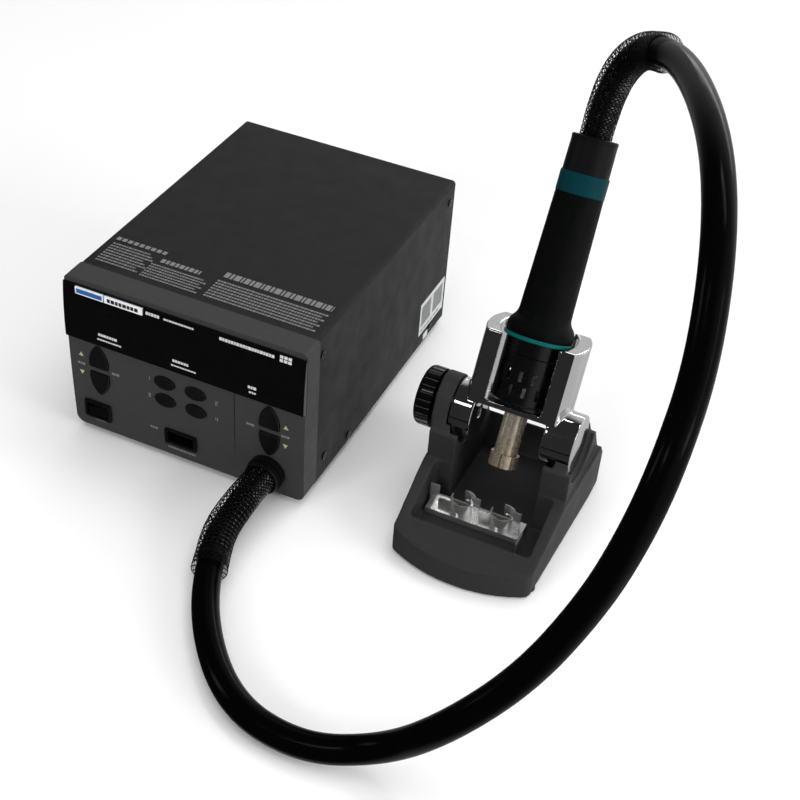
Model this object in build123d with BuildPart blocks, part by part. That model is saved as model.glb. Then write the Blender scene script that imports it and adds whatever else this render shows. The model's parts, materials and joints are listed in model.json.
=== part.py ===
"""Hot air rework station: control unit, gun stand with tilting cradle, hot air gun and hose.

Millimetres. +Z is up and the table is Z = 0. -Y is the front. X = 0, Y = 0 is the middle of the
floor box of everything except the free hose.
"""
import os
from math import cos, pi, radians, sin, tan

from build123d import *

os.makedirs("parts", exist_ok=True)

# ---------------------------------------------------------------- driving dimensions
CASE_W = 180.0          # control unit, outside width
CASE_TOP = 130.0        # top of the case above the table
FOOT_H = 5.0            # rubber feet
CASE_X0 = -175.0        # left face of the control unit
CASE_CX = CASE_X0 + CASE_W / 2
CASE_X1 = CASE_X0 + CASE_W
FRONT_Y = -113.0        # foremost line of the front panel
BEZEL_D = 19.0          # depth of the moulded front panel
COVER_Y0 = FRONT_Y + BEZEL_D
COVER_Y1 = 130.0        # rear edge of the sheet cover
SHEET = 1.2             # sheet steel thickness
COVER_W = 178.0         # the sheet case is 1 mm inside the panel each side
COVER_Z0 = 7.0
GAP = 0.15              # assembly gap between nested sheet parts

PANEL_WALL = 4.0        # front wall of the moulded panel
WALL_Y = FRONT_Y + PANEL_WALL
STRIP_Z0 = 81.6         # display strip, lower and upper edge
STRIP_Z1 = 126.0
STRIP_BACK_Y = -111.0
BUTTON_PROUD = 1.3
BUTTON_STROKE = 1.0
BUTTON_GAP = 0.3

ROCKER_X, ROCKER_Z = -155.4, 22.5
ROCKER_W, ROCKER_H = 21.0, 15.0
ROCKER_TILT = 8.0
PORT_X, PORT_Z = -89.2, 22.6
PORT_W, PORT_H = 25.0, 13.4
OUTLET_X, OUTLET_Z = -22.0, 23.0

STAND_CX = 122.0        # middle plane of the gun stand
HUB_Y, HUB_Z = -38.5, 68.7
HUB_R = 20.0
GUN_TILT = 28.3         # lean of the gun and cradle from upright
STAND_Y1 = 14.0         # rear face of the stand
TRAY_FLOOR = 8.0
HOSE_R = 8.75
RACK_Y = -76.0           # plane of the nozzle rack's upright tabs

# the cradle, measured along the gun (S) from the hub axis
FLOOR_S = 9.0            # underside of the cradle floor
FLOOR_T = 4.0
POST_TOP = 62.5          # at the middle of the sloping tops
POST_SLOPE = 0.25        # rise of the tops towards the back
POST_IN = 26.0           # bore between the posts
POST_OUT = 35.0          # round outer side of the posts
POST_HALF = 18.0         # flat front and back faces
HUB_IN = 24.5            # inner faces of the two hub drums
HUB_LEFT, HUB_RIGHT = 39.4, 45.8
NOZZLE_HOLE_R = 12.5
WASHER_T = 0.8
WASHER_GAP = 0.1

# the gun, measured along its axis (S) from the hub axis
BARREL_S0 = 13.0
RING_S = 58.0
FLANGE_S = 60.5
GRIP_S0 = 66.0
BAND_S0, BAND_S1 = 155.0, 168.5
TAIL_S = 192.0
VENTS = 14               # vent slots in each row of the barrel
FLUTES = 12              # grooves along the nozzle
BOOT_R = 10.6            # sleeve over the hose at both ends
INLET_X, INLET_Z = -30.0, 40.0

# slanted frame of the gun and cradle: origin on the hub axis, Z along the gun, -Y to its front
GUN = Plane(origin=(STAND_CX, HUB_Y, HUB_Z), x_dir=(1, 0, 0),
            z_dir=(0, sin(radians(GUN_TILT)), cos(radians(GUN_TILT))))

# upright sections through the gun's axis: across it (x, S) and along it (front to back, S)
GUN_SECTION = Plane(origin=GUN.origin, x_dir=(1, 0, 0), z_dir=-GUN.y_dir)
GUN_SIDE = Plane(origin=GUN.origin, x_dir=GUN.y_dir, z_dir=(1, 0, 0))
GUN_AXIS = Axis(GUN.origin, GUN.z_dir)


def save(part, name):
    """Label one sub-part and write it."""
    part.label = name
    export_step(part, "parts/" + name + ".step")


def wall_plane(y):
    """Sketch plane facing the front at depth y (local x is +X, local y is +Z)."""
    return Plane.XZ.offset(-y)


# ---------------------------------------------------------------- control unit: sheet metal
# (y, z) of the five case screws on each side
FRONT_SCREWS = [(-88.6, 115.0), (-80.5, 22.5)]
LOW_SCREWS = [(-41.8, 12.0), (102.3, 13.7)]
REAR_SCREW = [(121.3, 116.0)]
SIDE_SCREWS = FRONT_SCREWS + LOW_SCREWS + REAR_SCREW


def case_cover():
    """Folded sheet cover: top and two sides, open below, with screw holes."""
    with BuildPart() as cover:
        with BuildSketch(wall_plane(COVER_Y0)):
            with Locations((CASE_CX, (COVER_Z0 + CASE_TOP) / 2)):
                Rectangle(COVER_W, CASE_TOP - COVER_Z0)
        extrude(amount=-(COVER_Y1 - COVER_Y0))
        fillet(cover.edges().filter_by(Axis.Y).group_by(Axis.Z)[-1], 3.0)
        with BuildSketch(wall_plane(COVER_Y0)):
            with Locations((CASE_CX, (COVER_Z0 + CASE_TOP - SHEET) / 2 - 5)):
                Rectangle(COVER_W - 2 * SHEET, CASE_TOP - SHEET - COVER_Z0 + 10)
            fillet(vertices().group_by(Axis.Y)[-1], 2.0)
        extrude(amount=-(COVER_Y1 - COVER_Y0), mode=Mode.SUBTRACT)
        with BuildSketch(Plane.YZ.offset(CASE_CX)):
            with Locations(*SIDE_SCREWS):
                Circle(1.6)
        extrude(amount=120, both=True, mode=Mode.SUBTRACT)
    return cover.part


def chassis():
    """Bottom tray with upturned side flanges and slotted air intake."""
    inner = COVER_W - 2 * SHEET - 2 * GAP
    y0, y1 = COVER_Y0 + 0.5, COVER_Y1 - 2.2
    with BuildPart() as tray:
        with BuildSketch(Plane.XY.offset(COVER_Z0)):
            with Locations((CASE_CX, (y0 + y1) / 2)):
                Rectangle(inner, y1 - y0)
        extrude(amount=13)
        with BuildSketch(Plane.XY.offset(COVER_Z0 + SHEET)):
            with Locations((CASE_CX, (y0 + y1) / 2)):
                Rectangle(inner - 2 * SHEET, y1 - y0)
        extrude(amount=20, mode=Mode.SUBTRACT)
        with BuildSketch(Plane.XY.offset(COVER_Z0)):
            with Locations((-120, 20)):
                with GridLocations(9, 60, 7, 2):
                    SlotOverall(44, 3, rotation=90)
            with Locations((CASE_CX, 18)):
                with GridLocations(120, 170, 2, 2):
                    Circle(2.0)
        extrude(amount=3, mode=Mode.SUBTRACT)
        with BuildSketch(Plane.YZ.offset(CASE_CX)):
            with Locations(*LOW_SCREWS):
                Circle(1.6)
        extrude(amount=120, both=True, mode=Mode.SUBTRACT)
        with BuildSketch(Plane.YZ.offset(CASE_CX)):
            with Locations((-87.0, 15.0)):
                Rectangle(40, 14)
        extrude(amount=120, both=True, mode=Mode.SUBTRACT)
    return tray.part


def rear_panel():
    """Pressed rear plate with side flanges, a louvre field and the inlet cut-out."""
    z0, z1 = COVER_Z0 + SHEET + GAP, CASE_TOP - SHEET - GAP
    inner = COVER_W - 2 * SHEET - 2 * GAP
    mid_z = (z0 + z1) / 2
    with BuildPart() as plate:
        with BuildSketch(wall_plane(COVER_Y1 - 2.0)):
            with Locations((CASE_CX, mid_z)):
                RectangleRounded(inner, z1 - z0, 2.2)
        extrude(amount=-1.5)
        with BuildSketch(wall_plane(COVER_Y1 - 14.0)):
            with Locations((CASE_CX, 82)):
                Rectangle(inner, 84)
                Rectangle(inner - 2 * SHEET, 84, mode=Mode.SUBTRACT)
        extrude(amount=-12.0)
        with BuildSketch(wall_plane(COVER_Y1 - 14.0)):
            with Locations((-130, 84)):
                with GridLocations(0, 7, 1, 8):
                    SlotOverall(52, 3)
            with Locations((INLET_X, INLET_Z)):
                RectangleRounded(27.4, 20.4, 3)
            with Locations((INLET_X, INLET_Z)):
                with GridLocations(40, 1, 2, 1):
                    Circle(1.7)
        extrude(amount=-20, mode=Mode.SUBTRACT)
        with BuildSketch(Plane.YZ.offset(CASE_CX)):
            with Locations(*REAR_SCREW):
                Circle(1.6)
        extrude(amount=120, both=True, mode=Mode.SUBTRACT)
    return plate.part


def mains_inlet():
    """Screw-fixed appliance inlet: flange, deep rounded body and open socket."""
    with BuildPart() as inlet:
        with BuildSketch(wall_plane(COVER_Y1 - 0.5)):
            with Locations((INLET_X, INLET_Z)):
                RectangleRounded(50, 23, 4)
            with Locations((INLET_X, INLET_Z)):
                with GridLocations(40, 1, 2, 1):
                    Circle(1.7, mode=Mode.SUBTRACT)
        extrude(amount=-2.0)
        with BuildSketch(wall_plane(COVER_Y1 - 24.0)):
            with Locations((INLET_X, INLET_Z)):
                RectangleRounded(27, 20, 3)
        extrude(amount=-24.0)
        with BuildSketch(wall_plane(COVER_Y1 - 18.0)):
            with Locations((INLET_X, INLET_Z)):
                Rectangle(24, 16.5)
            chamfer(vertices().group_by(Axis.Y)[-1], 4.0)
        extrude(amount=-22.0, mode=Mode.SUBTRACT)
    return inlet.part


def inlet_pins():
    """Three flat contact blades inside the appliance inlet."""
    with BuildPart() as pins:
        with BuildSketch(wall_plane(COVER_Y1 - 18.0)):
            with Locations((INLET_X - 7, INLET_Z - 2), (INLET_X + 7, INLET_Z - 2), (INLET_X, INLET_Z + 2)):
                Rectangle(2, 4)
        extrude(amount=-12.0)
    return pins.part


def inlet_screws():
    """Two countersunk screws that hold the inlet flange."""
    with BuildPart() as screws:
        with BuildSketch(wall_plane(COVER_Y1 - 8.0)):
            with Locations((INLET_X - 20, INLET_Z), (INLET_X + 20, INLET_Z)):
                Circle(1.5)
        extrude(amount=-9.5)
        with BuildSketch(wall_plane(COVER_Y1 + 1.5)):
            with Locations((INLET_X - 20, INLET_Z), (INLET_X + 20, INLET_Z)):
                Circle(3.0)
                Rectangle(4, 0.8, mode=Mode.SUBTRACT)
        extrude(amount=-0.5)
    return screws.part


def case_screws():
    """Pan head screws, five on each side of the cover."""
    with BuildPart() as screws:
        for face, way in ((CASE_CX - COVER_W / 2, -1), (CASE_CX + COVER_W / 2, 1)):
            with BuildSketch(Plane.YZ.offset(face)):
                with Locations(*SIDE_SCREWS):
                    Circle(2.9)
            extrude(amount=0.9 * way)
            with BuildSketch(Plane.YZ.offset(face)):
                with Locations(*SIDE_SCREWS):
                    Circle(1.5)
            extrude(amount=-5.0 * way)
            with BuildSketch(Plane.YZ.offset(face + 0.9 * way)):
                with Locations(*SIDE_SCREWS):
                    Rectangle(3.2, 0.7)
                    Rectangle(0.7, 3.2)
            extrude(amount=-0.5 * way, mode=Mode.SUBTRACT)
    return screws.part


def rubber_feet():
    """Four round moulded feet with a moulded retaining boss."""
    with BuildPart() as feet:
        with BuildSketch(Plane.XY):
            with Locations((CASE_CX, 18)):
                with GridLocations(120, 170, 2, 2):
                    Circle(8.0)
        extrude(amount=FOOT_H + 2.0, taper=6)
        with BuildSketch(Plane.XY.offset(FOOT_H + 2.0)):
            with Locations((CASE_CX, 18)):
                with GridLocations(120, 170, 2, 2):
                    Circle(1.9)
        extrude(amount=4.0)
    return feet.part


# ---------------------------------------------------------------- control unit: front panel
def shield(x, z, way, grow=0.0):
    """Face of a pick shaped key: flat side at (x, z), bowed sides meeting in a rounded point."""
    half = 7.3 + grow
    flat = z - grow * way
    with BuildLine() as line:
        Line((x - half, flat), (x + half, flat))
        for side in (1, -1):
            ThreePointArc((x + side * half, flat), (x + side * (half - 0.9), z + 10.5 * way),
                          (x + side * 1.0, z + (18.6 + grow) * way))
        Line((x - 1.0, z + (18.6 + grow) * way), (x + 1.0, z + (18.6 + grow) * way))
    return line.line


TEMP_X, AIR_X = -151.7, -20.8
KEY_MID_Z = 59.0
SHIELD_KEYS = {
    "temp_up": (TEMP_X, KEY_MID_Z + 2.1, 1),
    "temp_down": (TEMP_X, KEY_MID_Z - 2.1, -1),
    "air_up": (AIR_X, KEY_MID_Z + 2.1, 1),
    "air_down": (AIR_X, KEY_MID_Z - 2.1, -1),
}
OVAL_KEYS = {
    "preset_1": (-99.9, 68.3),
    "preset_2": (-76.3, 68.3),
    "preset_3": (-99.9, 53.3),
    "preset_4": (-76.3, 53.3),
}
OVAL_W, OVAL_H = 16.0, 10.6


def bezel():
    """Moulded front panel: shallow box, slightly bowed front, all openings."""
    with BuildPart() as panel:
        with BuildSketch(Plane.YZ.offset(CASE_X0)):
            with BuildLine():
                Polyline((FRONT_Y + 1.4, FOOT_H), (COVER_Y0, FOOT_H), (COVER_Y0, CASE_TOP),
                         (FRONT_Y + 1.6, CASE_TOP))
                ThreePointArc((FRONT_Y + 1.6, CASE_TOP), (FRONT_Y, 62), (FRONT_Y + 1.4, FOOT_H))
            make_face()
        extrude(amount=CASE_W)
        fillet(panel.edges().filter_by(Axis.Y).group_by(Axis.Z)[0], 6.0)
        fillet(panel.edges().filter_by(Axis.Y).group_by(Axis.Z)[-1], 3.0)
        with BuildSketch(wall_plane(WALL_Y)):
            with Locations((CASE_CX, (FOOT_H + CASE_TOP) / 2)):
                RectangleRounded(CASE_W - 6, CASE_TOP - FOOT_H - 6, 3)
        extrude(amount=-(COVER_Y0 - WALL_Y + 1), mode=Mode.SUBTRACT)
        with Locations((CASE_CX, FRONT_Y - 5, (STRIP_Z0 + STRIP_Z1) / 2)):
            Box(CASE_W + 2, 2 * (STRIP_BACK_Y - FRONT_Y + 5), STRIP_Z1 - STRIP_Z0, mode=Mode.SUBTRACT)
        with BuildSketch(wall_plane(FRONT_Y - 3)):
            with Locations((CASE_CX, 104)):
                Rectangle(166, 34)
            with Locations((ROCKER_X, ROCKER_Z)):
                Rectangle(ROCKER_W - 2.0, ROCKER_H - 2.0)
            with Locations((PORT_X, PORT_Z)):
                RectangleRounded(PORT_W - 1.6, PORT_H - 1.6, 1.0)
            with Locations((OUTLET_X, OUTLET_Z)):
                Circle(11.95)
            with Locations(*OVAL_KEYS.values()):
                Ellipse(OVAL_W / 2 + BUTTON_GAP, OVAL_H / 2 + BUTTON_GAP)
        extrude(amount=-(PANEL_WALL + 4), mode=Mode.SUBTRACT)
        for x, z, way in SHIELD_KEYS.values():
            with BuildSketch(wall_plane(FRONT_Y - 3)) as hole:
                add(shield(x, z, way, BUTTON_GAP))
                make_face()
                fillet(hole.vertices(), 0.8)
            extrude(amount=-(PANEL_WALL + 4), mode=Mode.SUBTRACT)
        for side in (-1, 1):
            with Locations((CASE_CX + side * (COVER_W / 2 - SHEET - GAP - 1.25), COVER_Y0 + 5, 68.75)):
                Box(2.5, 26, 106)
            with BuildSketch(Plane.YZ.offset(CASE_CX)):
                with Locations(*FRONT_SCREWS):
                    Circle(1.6)
            extrude(amount=side * 120, mode=Mode.SUBTRACT)
        with Locations((-46.9, FRONT_Y, 43.0)):
            Box(0.9, 1.4, 75.5, mode=Mode.SUBTRACT)
    return panel.part


def display_window():
    """Gloss display strip, proud of the panel and thicker at its lower edge."""
    with BuildPart() as window:
        with BuildSketch(Plane.YZ.offset(CASE_X0)):
            with BuildLine():
                Polyline((STRIP_BACK_Y, STRIP_Z0), (STRIP_BACK_Y, STRIP_Z1),
                         (FRONT_Y - 0.2, STRIP_Z1))
                ThreePointArc((FRONT_Y - 0.2, STRIP_Z1), (FRONT_Y - 2.2, 103),
                              (FRONT_Y - 2.6, STRIP_Z0 + 1.5))
                Line((FRONT_Y - 2.6, STRIP_Z0 + 1.5), (STRIP_BACK_Y, STRIP_Z0))
            make_face()
        extrude(amount=CASE_W)
        fillet(window.edges().filter_by(Axis.Z), 1.2)
    return window.part


def badge_plate():
    """Blank name plate field on the display strip, two plain tiles."""
    with BuildPart() as badge:
        with BuildSketch(wall_plane(FRONT_Y + 1)):
            with Locations((-154.1, 122.6)):
                Rectangle(21.4, 5.2)
            with Locations((-128.1, 122.6)):
                Rectangle(28.6, 5.2)
        extrude(amount=2.6)
        add(display_window(), mode=Mode.SUBTRACT)
    return badge.part


def display_board():
    """Circuit board behind the display strip with two readout modules."""
    with BuildPart() as board:
        with Locations((CASE_CX, -101.0, 104)):
            Box(164, 1.6, 40)
        with Locations((-125.5, -104.9, 104), (-44.5, -104.9, 104)):
            Box(62, 6.2, 28)
    return board.part


def control_board():
    """Circuit board behind the keys with its eight switches and components."""
    with BuildPart() as board:
        with Locations((CASE_CX, -97.2, 61)):
            Box(160, 1.6, 38)
        with Locations(*[(x, -100.4, z + 7 * way) for x, z, way in SHIELD_KEYS.values()]):
            Box(6, 4.8, 6)
        with Locations(*[(x, -100.4, z) for x, z in OVAL_KEYS.values()]):
            Box(6, 4.8, 6)
        with Locations((-125, -94.4, 62), (-45, -94.4, 66)):
            Box(14, 4.0, 14)
    return board.part


def shield_key(x, z, way):
    """One shield shaped key cap with a retaining flange behind the panel."""
    with BuildPart() as cap:
        with BuildSketch(wall_plane(WALL_Y + 0.4)) as face:
            add(shield(x, z, way))
            make_face()
            fillet(face.vertices(), 0.8)
        extrude(amount=PANEL_WALL + 0.4 + BUTTON_PROUD)
        fillet(cap.faces().sort_by(Axis.Y)[0].edges(), 0.7)
        with BuildSketch(wall_plane(WALL_Y + 0.4)):
            with Locations((x, z + 7 * way)):
                Circle(8.8)
        extrude(amount=-1.2)
        with BuildSketch(wall_plane(WALL_Y + 1.6)):
            with Locations((x, z + 7 * way)):
                Circle(1.8)
        extrude(amount=-3.4)
    return cap.part


def oval_key(x, z):
    """One oval preset key cap with a retaining flange behind the panel."""
    with BuildPart() as cap:
        with BuildSketch(wall_plane(WALL_Y + 0.4)):
            with Locations((x, z)):
                Ellipse(OVAL_W / 2, OVAL_H / 2)
        extrude(amount=PANEL_WALL + 0.4 + BUTTON_PROUD)
        fillet(cap.faces().sort_by(Axis.Y)[0].edges(), 0.7)
        with BuildSketch(wall_plane(WALL_Y + 0.4)):
            with Locations((x, z)):
                Ellipse(OVAL_W / 2 + 1.4, OVAL_H / 2 + 1.4)
        extrude(amount=-1.2)
        with BuildSketch(wall_plane(WALL_Y + 1.6)):
            with Locations((x, z)):
                Circle(1.8)
        extrude(amount=-3.4)
    return cap.part


def rocker_frame():
    """Snap-in rocker switch body: outer rim, tube and rear terminals."""
    with BuildPart() as frame:
        with BuildSketch(wall_plane(FRONT_Y - 1.6)):
            with Locations((ROCKER_X, ROCKER_Z)):
                RectangleRounded(ROCKER_W, ROCKER_H, 1.2)
        extrude(amount=-1.6)
        fillet(frame.faces().sort_by(Axis.Y)[0].edges(), 0.6)
        with Locations((ROCKER_X, FRONT_Y + 8, ROCKER_Z)):
            Box(ROCKER_W - 2.4, 16, ROCKER_H - 2.4)
        with Locations((ROCKER_X, FRONT_Y + 5, ROCKER_Z)):
            Box(ROCKER_W - 4.6, 14, ROCKER_H - 4.6, mode=Mode.SUBTRACT)
        with Locations((ROCKER_X - 6, FRONT_Y + 18.5, ROCKER_Z), (ROCKER_X + 6, FRONT_Y + 18.5, ROCKER_Z)):
            Box(4.8, 5, 0.8)
    return frame.part


def rocker_key():
    """Rocking switch key, dished across its front, tilted to the off side."""
    pivot = Plane(origin=(ROCKER_X, FRONT_Y + 6.0, ROCKER_Z), x_dir=(1, 0, 0), z_dir=(0, 0, 1))
    with BuildPart() as key:
        with BuildSketch(Plane.XY.offset(ROCKER_Z - 4.3)):
            with BuildLine():
                Polyline((ROCKER_X - 6.9, FRONT_Y - 2.9), (ROCKER_X - 6.2, FRONT_Y + 8.0),
                         (ROCKER_X + 6.2, FRONT_Y + 8.0), (ROCKER_X + 6.9, FRONT_Y - 2.9))
                ThreePointArc((ROCKER_X - 6.9, FRONT_Y - 2.9), (ROCKER_X, FRONT_Y - 1.6),
                              (ROCKER_X + 6.9, FRONT_Y - 2.9))
            make_face()
        extrude(amount=8.6)
    return key.part.rotate(Axis((ROCKER_X, FRONT_Y + 6.0, ROCKER_Z), (0, 0, 1)), ROCKER_TILT)


def port_socket():
    """Front accessory socket: rim and a deep rectangular cavity."""
    with BuildPart() as socket:
        with BuildSketch(wall_plane(FRONT_Y - 0.8)):
            with Locations((PORT_X, PORT_Z)):
                RectangleRounded(PORT_W, PORT_H, 1.6)
        extrude(amount=-0.8)
        with BuildSketch(wall_plane(FRONT_Y)):
            with Locations((PORT_X, PORT_Z)):
                RectangleRounded(PORT_W - 2.0, PORT_H - 2.0, 1.0)
        extrude(amount=-14.0)
        with BuildSketch(wall_plane(FRONT_Y - 2)):
            with Locations((PORT_X, PORT_Z)):
                Rectangle(PORT_W - 5.0, PORT_H - 5.0)
        extrude(amount=-14.0, mode=Mode.SUBTRACT)
    return socket.part


def outlet_collar():
    """Air outlet nut on the panel: stepped ring with a through bore."""
    with BuildPart() as collar:
        with BuildSketch(wall_plane(FRONT_Y)):
            with Locations((OUTLET_X, OUTLET_Z)):
                Circle(13.2)
        extrude(amount=5.0)
        with BuildSketch(wall_plane(FRONT_Y - 5.0)):
            with Locations((OUTLET_X, OUTLET_Z)):
                Circle(12.4)
        extrude(amount=5.0)
        fillet(collar.faces().sort_by(Axis.Y)[0].edges(), 0.8)
        with BuildSketch(wall_plane(FRONT_Y)):
            with Locations((OUTLET_X, OUTLET_Z)):
                Circle(11.8)
        extrude(amount=-12.0)
        with BuildSketch(wall_plane(FRONT_Y - 11.0)):
            with Locations((OUTLET_X, OUTLET_Z)):
                Circle(BOOT_R + 0.1)
        extrude(amount=-25.0, mode=Mode.SUBTRACT)
    return collar.part


# ---------------------------------------------------------------- control unit: inside
def transformer():
    """Mains transformer: stacked core with a wound coil."""
    with BuildPart() as block:
        with Locations((-125, 60, 44)):
            Box(72, 60, 71.6)
        with Locations((-125, 60, 44)):
            Box(48, 76, 46)
        fillet(block.edges().filter_by(Axis.Z).group_by(Axis.Y)[-1], 6)
    return block.part


BLOWER = (-40.0, 20.0)   # axis of the blower


def blower_housing():
    """Turbo blower housing: round drum with an outlet duct to the front collar."""
    base = COVER_Z0 + SHEET
    with BuildPart() as drum:
        with BuildSketch(Plane.XY.offset(base)):
            with Locations(BLOWER):
                Circle(36)
        extrude(amount=46)
        with BuildSketch(wall_plane(-88.0)):
            with Locations((OUTLET_X, OUTLET_Z)):
                Circle(11.5)
        extrude(amount=-84.0)
        with BuildSketch(Plane.XY.offset(base + 3)):
            with Locations(BLOWER):
                Circle(33)
        extrude(amount=40, mode=Mode.SUBTRACT)
        with BuildSketch(Plane.XY.offset(50)):
            with Locations(BLOWER):
                Circle(14)
        extrude(amount=10, mode=Mode.SUBTRACT)
        with BuildSketch(wall_plane(-88.0)):
            with Locations((OUTLET_X, OUTLET_Z)):
                Circle(9.0)
        extrude(amount=-88.0, mode=Mode.SUBTRACT)
    return drum.part


def blower_motor():
    """Motor on top of the blower housing with its shaft stub."""
    top = COVER_Z0 + SHEET + 46
    with BuildPart() as motor:
        with BuildSketch(Plane.XY.offset(top)):
            with Locations(BLOWER):
                Circle(18)
        extrude(amount=30)
        fillet(motor.faces().sort_by(Axis.Z)[-1].edges(), 3)
    return motor.part


def blower_impeller():
    """Spinning blower wheel: hub, shaft, back disc and radial blades."""
    with BuildPart() as wheel:
        with BuildSketch(Plane.XY.offset(34)):
            with Locations(BLOWER):
                Circle(29)
        extrude(amount=2)
        with BuildSketch(Plane.XY.offset(36)):
            with Locations(BLOWER):
                Circle(6)
        extrude(amount=18)
        with BuildSketch(Plane.XY.offset(36)):
            with Locations(BLOWER):
                with PolarLocations(18.5, 12):
                    Rectangle(20, 1.2)
        extrude(amount=10)
    return wheel.part


# ---------------------------------------------------------------- gun stand
BASE_FRONT_Y = -119.0
BASE_ARC_Y = -132.0
EAR_IN = 30.0            # inner face of each ear from the middle plane
EAR_LEFT = HUB_LEFT + WASHER_T + 2 * WASHER_GAP     # bottom of the left hub recess
EAR_RIGHT = HUB_RIGHT + 0.2                         # the right hub shows its end face here
BOSS_OUT = 49.5          # the right ear is set in above the side wall
SADDLE_R = HUB_R + 1.2   # round seats of the two hubs
DRUM_R = 21.0            # round top of the left ear
LEDGE_Z = 38.4           # top of the side walls beside the ears
BLOCK_Y = -64.5          # front faces of the ear blocks


def outline_line():
    """Floor outline of the stand: bowed front, sides widening to the rear."""
    with BuildLine() as line:
        ThreePointArc((STAND_CX - 48.5, BASE_FRONT_Y), (STAND_CX, BASE_ARC_Y),
                      (STAND_CX + 48.5, BASE_FRONT_Y))
        Polyline((STAND_CX + 48.5, BASE_FRONT_Y), (STAND_CX + 53, -10), (STAND_CX + 53, STAND_Y1),
                 (STAND_CX - 53, STAND_Y1), (STAND_CX - 53, -10), (STAND_CX - 48.5, BASE_FRONT_Y))
    return line.line


def side_line():
    """Side view of the stand walls and ears (y, z)."""
    k = DRUM_R * cos(radians(45))
    with BuildLine() as line:
        Polyline((BASE_ARC_Y - 2, 1.0), (STAND_Y1 + 2, 1.0), (STAND_Y1 + 2, 26), (STAND_Y1 - 7, 31),
                 (HUB_Y + k, HUB_Z + k))
        ThreePointArc((HUB_Y + k, HUB_Z + k), (HUB_Y, HUB_Z + DRUM_R), (HUB_Y - k, HUB_Z + k))
        Polyline((HUB_Y - k, HUB_Z + k), (BLOCK_Y + 3, 64), (BLOCK_Y, 61), (BLOCK_Y, 40), (-70, 38),
                 (-79, 35), (-112, 22), (BASE_ARC_Y - 2, 18.5), (BASE_ARC_Y - 2, 1.0))
    return line.line


def stand_base():
    """Cast stand: tray, sloping side walls, a left ear with a hub recess and a right ear with a saddle."""
    with BuildPart() as base:
        with BuildSketch(Plane.XY):
            add(outline_line())
            make_face()
        extrude(amount=100)
        fillet(base.edges().filter_by(Axis.Z), 7)
        with BuildSketch(Plane.YZ.offset(STAND_CX)):
            add(side_line())
            make_face()
        extrude(amount=60, both=True, mode=Mode.INTERSECT)
        with BuildSketch(Plane.XY.offset(TRAY_FLOOR)):
            with Locations((STAND_CX, -52)):
                Rectangle(2 * EAR_IN, 110)
            with Locations((STAND_CX, -86)):
                RectangleRounded(84, 42, 3)
        extrude(amount=100, mode=Mode.SUBTRACT)
        for side, depth in ((-1, EAR_LEFT), (1, EAR_RIGHT)):
            with BuildSketch(Plane.YZ.offset(STAND_CX)):
                with Locations((HUB_Y, HUB_Z)):
                    Circle(SADDLE_R)
                with Locations((HUB_Y - 2, HUB_Z + 20)):
                    Rectangle(HUB_R * 2 + 6.4, 40)
            extrude(amount=side * depth, mode=Mode.SUBTRACT)
        with BuildSketch(Plane.YZ.offset(STAND_CX + HUB_IN)):
            with Locations((HUB_Y, HUB_Z)):
                Circle(SADDLE_R)
        extrude(amount=60, mode=Mode.SUBTRACT)
        with BuildSketch(Plane.YZ.offset(STAND_CX + EAR_RIGHT)):
            with Locations((HUB_Y, HUB_Z)):
                Circle(SADDLE_R + 4)
        extrude(amount=60, mode=Mode.SUBTRACT)
        with BuildSketch(Plane.YZ.offset(STAND_CX)):
            with Locations((HUB_Y, HUB_Z)):
                Circle(HUB_R + 4)
        extrude(amount=POST_OUT + 1.5, both=True, mode=Mode.SUBTRACT)
        with BuildSketch(Plane.YZ.offset(STAND_CX + BOSS_OUT)):
            with Locations((HUB_Y, LEDGE_Z + 40)):
                Rectangle(2 * (HUB_Y - BLOCK_Y) + 40, 80)
        extrude(amount=20, mode=Mode.SUBTRACT)
        with BuildSketch(Plane.YZ.offset(STAND_CX - BOSS_OUT)):
            with Locations((BLOCK_Y - 10 + 5.5, LEDGE_Z + 40)):
                Rectangle(20, 80)
        extrude(amount=-20, mode=Mode.SUBTRACT)
        with BuildSketch(Plane.YZ.offset(STAND_CX + EAR_RIGHT - 0.01)):
            with Locations((HUB_Y, HUB_Z + 20)):
                Rectangle(90, 56)
            Polygon((BLOCK_Y, 50), (BLOCK_Y, 61), (HUB_Y - 10, HUB_Z + 9.8), (HUB_Y + 10, HUB_Z + 9.8),
                    (-13.8, 61.3), (-5.6, 44.3), (-5.6, 38), align=None, mode=Mode.SUBTRACT)
        extrude(amount=20, mode=Mode.SUBTRACT)
        with BuildSketch(Plane.YZ.offset(STAND_CX)):
            with Locations((HUB_Y, HUB_Z)):
                Circle(4.1)
        extrude(amount=-80, mode=Mode.SUBTRACT)
        with BuildSketch(Plane.XY):
            with Locations((STAND_CX, -55)):
                RectangleRounded(78, 104, 6)
        extrude(amount=4.0, mode=Mode.SUBTRACT)
    return base.part


def stand_feet():
    """Four rubber pads under the stand."""
    with BuildPart() as pads:
        with BuildSketch(Plane.XY):
            with Locations((STAND_CX, -53)):
                with GridLocations(90, 112, 2, 2):
                    Circle(4.5)
        extrude(amount=1.0)
    return pads.part


RACK_X0, RACK_X1 = -40.0, 27.0     # rack ends from the stand's middle plane
RACK_Z = TRAY_FLOOR + 3.2           # underside of its shelf
RACK_T = 1.2
RACK_CLIPS = [(-17.0, -73.5), (11.5, -73.5)]   # ring clips (x, y), 28.5 mm apart


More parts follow.
